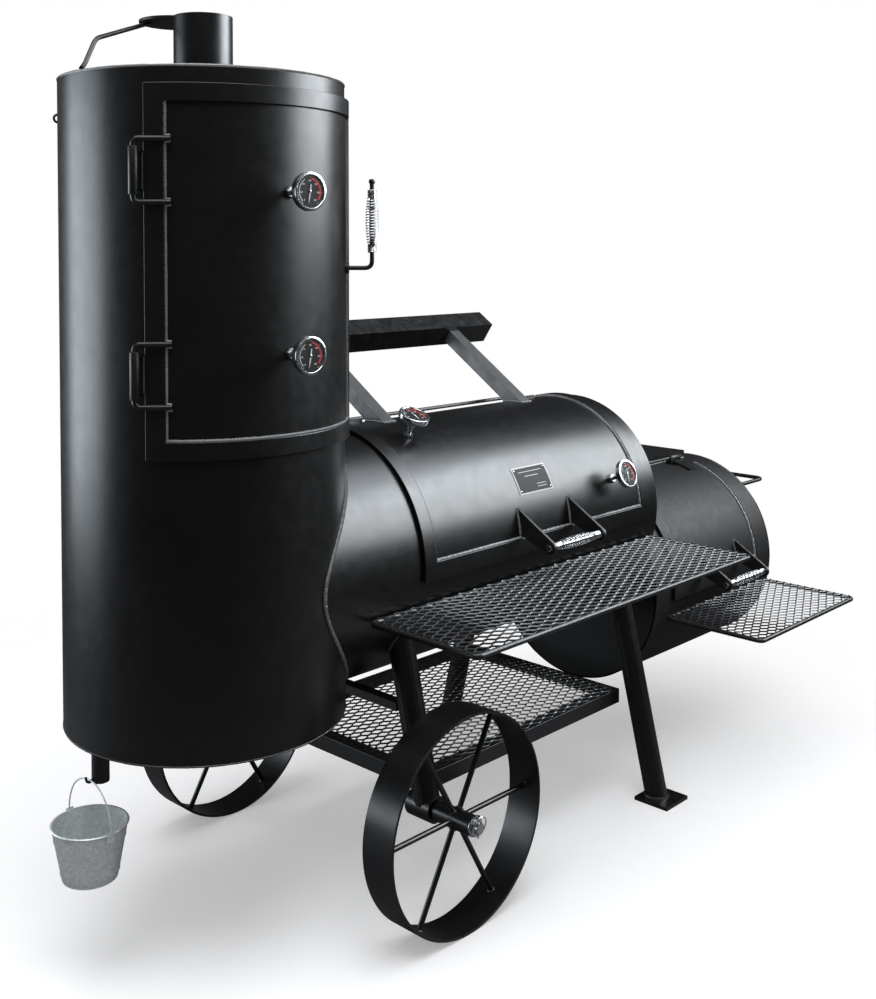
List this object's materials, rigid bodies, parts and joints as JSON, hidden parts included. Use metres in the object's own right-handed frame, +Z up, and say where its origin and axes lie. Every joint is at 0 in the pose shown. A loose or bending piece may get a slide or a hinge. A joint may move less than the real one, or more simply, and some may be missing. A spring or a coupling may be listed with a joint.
{
  "type": "offset smoker",
  "caption": "Wheeled offset smoker: horizontal cooking barrel between a tall cylindrical cabinet with chimney and a lower end firebox, with shelves and a drip bucket.",
  "frame": {"origin": "on the ground, under the middle of the bounding box", "axes": "+X from the upright cabinet to the firebox, +Y to the back, +Z up; the doors and handles face -Y"},
  "size_m": [2.5281, 1.0915, 2.005],
  "materials": {
    "black_steel": "satin",
    "grey_steel": "satin",
    "chrome": "polished",
    "galvanised": "satin",
    "needle": "matte"
  },
  "bodies": {
    "frame": {"cabinet_shell": "black_steel", "cabinet_top_plate": "black_steel", "cabinet_floor_plate": "black_steel", "cabinet_rack_lower": "black_steel", "cabinet_rack_upper": "black_steel", "chimney": "black_steel", "drain_pipe": "black_steel", "barrel_shell": "black_steel", "barrel_grate": "black_steel", "barrel_hinge_rod": "black_steel", "firebox_shell": "black_steel", "firebox_hinge_rod": "black_steel", "fire_grate": "black_steel", "warming_plate": "black_steel", "pull_handle": "black_steel", "firebox_door_hinge": "black_steel", "leg_front_right": "black_steel", "leg_front_left": "black_steel", "leg_back_right": "black_steel", "leg_back_left": "black_steel", "leg_brace": "black_steel", "stub_axle_front": "black_steel", "stub_axle_back": "black_steel", "front_shelf": "black_steel", "side_shelf": "black_steel", "lower_shelf": "black_steel"},
    "damper": {"damper_plate": "black_steel"},
    "cabinet_door": {"cabinet_door": "black_steel", "cabinet_door_frame": "black_steel", "cabinet_thermometer_lower": "chrome", "cabinet_thermometer_upper": "chrome"},
    "cabinet_latch": {"cabinet_latch_handle": "black_steel", "cabinet_latch_grip": "chrome"},
    "bail": {"bucket_bail": "galvanised"},
    "bucket": {"bucket": "galvanised"},
    "barrel_lid": {"barrel_lid": "black_steel", "barrel_lid_frame": "black_steel", "lid_strut_left": "grey_steel", "lid_strut_right": "grey_steel", "counterweight_bar": "black_steel", "lid_handle_bracket_left": "black_steel", "lid_handle_bracket_right": "black_steel", "lid_handle_rod": "chrome", "lid_handle_grip": "chrome", "name_plate": "chrome", "lid_thermometer_left": "chrome", "lid_thermometer_right": "chrome"},
    "firebox_lid": {"firebox_lid": "black_steel", "firebox_lid_frame": "black_steel", "firebox_handle_bracket": "black_steel", "firebox_handle_grip": "chrome"},
    "firebox_door": {"firebox_door": "black_steel"},
    "air_damper": {"air_damper": "black_steel"},
    "wheel_front": {"wheel_front": "black_steel"},
    "wheel_back": {"wheel_back": "black_steel"},
    "cabinet_thermometer_lower_needle": {"cabinet_thermometer_lower_needle": "needle"},
    "cabinet_thermometer_upper_needle": {"cabinet_thermometer_upper_needle": "needle"},
    "lid_thermometer_left_needle": {"lid_thermometer_left_needle": "needle"},
    "lid_thermometer_right_needle": {"lid_thermometer_right_needle": "needle"}
  },
  "joints": [
    {"name": "damper_swing", "type": "hinge", "parent": "frame", "child": "damper", "pos_m": [-0.84364, 0.11503, 1.991], "axis": [0, 0, 1], "range_deg": [0, 97.2]},
    {"name": "cabinet_door_swing", "type": "hinge", "parent": "frame", "child": "cabinet_door", "pos_m": [-1.1847, -0.1045, 1.4435], "axis": [0, 0, -1], "range_deg": [0, 130]},
    {"name": "cabinet_latch_turn", "type": "hinge", "parent": "cabinet_door", "child": "cabinet_latch", "pos_m": [-0.68747, -0.15826, 1.448], "axis": [-0.6947, 0.7193, 0], "range_deg": [0, 90]},
    {"name": "bail_swing", "type": "hinge", "parent": "frame", "child": "bail", "pos_m": [-1.1872, 0.069, 0.4035], "axis": [1, 0, 0], "range_deg": [-20, 20]},
    {"name": "bucket_tilt", "type": "hinge", "parent": "bail", "child": "bucket", "pos_m": [-1.1872, 0.069, 0.3135], "axis": [0, 1, 0], "range_deg": [-25, 25]},
    {"name": "barrel_lid_swing", "type": "hinge", "parent": "frame", "child": "barrel_lid", "pos_m": [-0.0687, 0.17263, 1.04961], "axis": [-1, 0, 0], "range_deg": [0, 75]},
    {"name": "firebox_lid_swing", "type": "hinge", "parent": "frame", "child": "firebox_lid", "pos_m": [0.7693, 0.0198, 0.80876], "axis": [-1, 0, 0], "range_deg": [0, 115]},
    {"name": "firebox_door_swing", "type": "hinge", "parent": "frame", "child": "firebox_door", "pos_m": [1.0941, 0.209, 0.49], "axis": [0, 0, 1], "range_deg": [0, 110]},
    {"name": "air_damper_turn", "type": "hinge", "parent": "firebox_door", "child": "air_damper", "pos_m": [1.09075, 0.061, 0.425], "axis": [1, 0, 0], "range_deg": [0, 90]},
    {"name": "wheel_front_spin", "type": "hinge", "parent": "frame", "child": "wheel_front", "pos_m": [-0.5372, -0.35185, 0.2407], "axis": [0, 1, 0], "continuous": true},
    {"name": "wheel_back_spin", "type": "hinge", "parent": "frame", "child": "wheel_back", "pos_m": [-0.5372, 0.47385, 0.2407], "axis": [0, 1, 0], "continuous": true},
    {"name": "cabinet_thermometer_lower_needle_turn", "type": "hinge", "parent": "cabinet_door", "child": "cabinet_thermometer_lower_needle", "pos_m": [-0.91881, -0.31319, 1.281], "axis": [0.0523, 0.9986, 0], "range_deg": [0, 285], "stiffness_Nm_per_rad": 0.0004},
    {"name": "cabinet_thermometer_upper_needle_turn", "type": "hinge", "parent": "cabinet_door", "child": "cabinet_thermometer_upper_needle", "pos_m": [-0.91881, -0.31319, 1.603], "axis": [0.0523, 0.9986, 0], "range_deg": [0, 285], "stiffness_Nm_per_rad": 0.0004},
    {"name": "lid_thermometer_left_needle_turn", "type": "hinge", "parent": "barrel_lid", "child": "lid_thermometer_left_needle", "pos_m": [-0.3842, -0.07493, 1.08696], "axis": [0, 0.3827, -0.9239], "range_deg": [0, 285], "stiffness_Nm_per_rad": 0.0004},
    {"name": "lid_thermometer_right_needle_turn", "type": "hinge", "parent": "barrel_lid", "child": "lid_thermometer_right_needle", "pos_m": [0.2318, -0.27061, 0.88609], "axis": [0, 0.9336, -0.3584], "range_deg": [0, 285], "stiffness_Nm_per_rad": 0.0004}
  ]
}
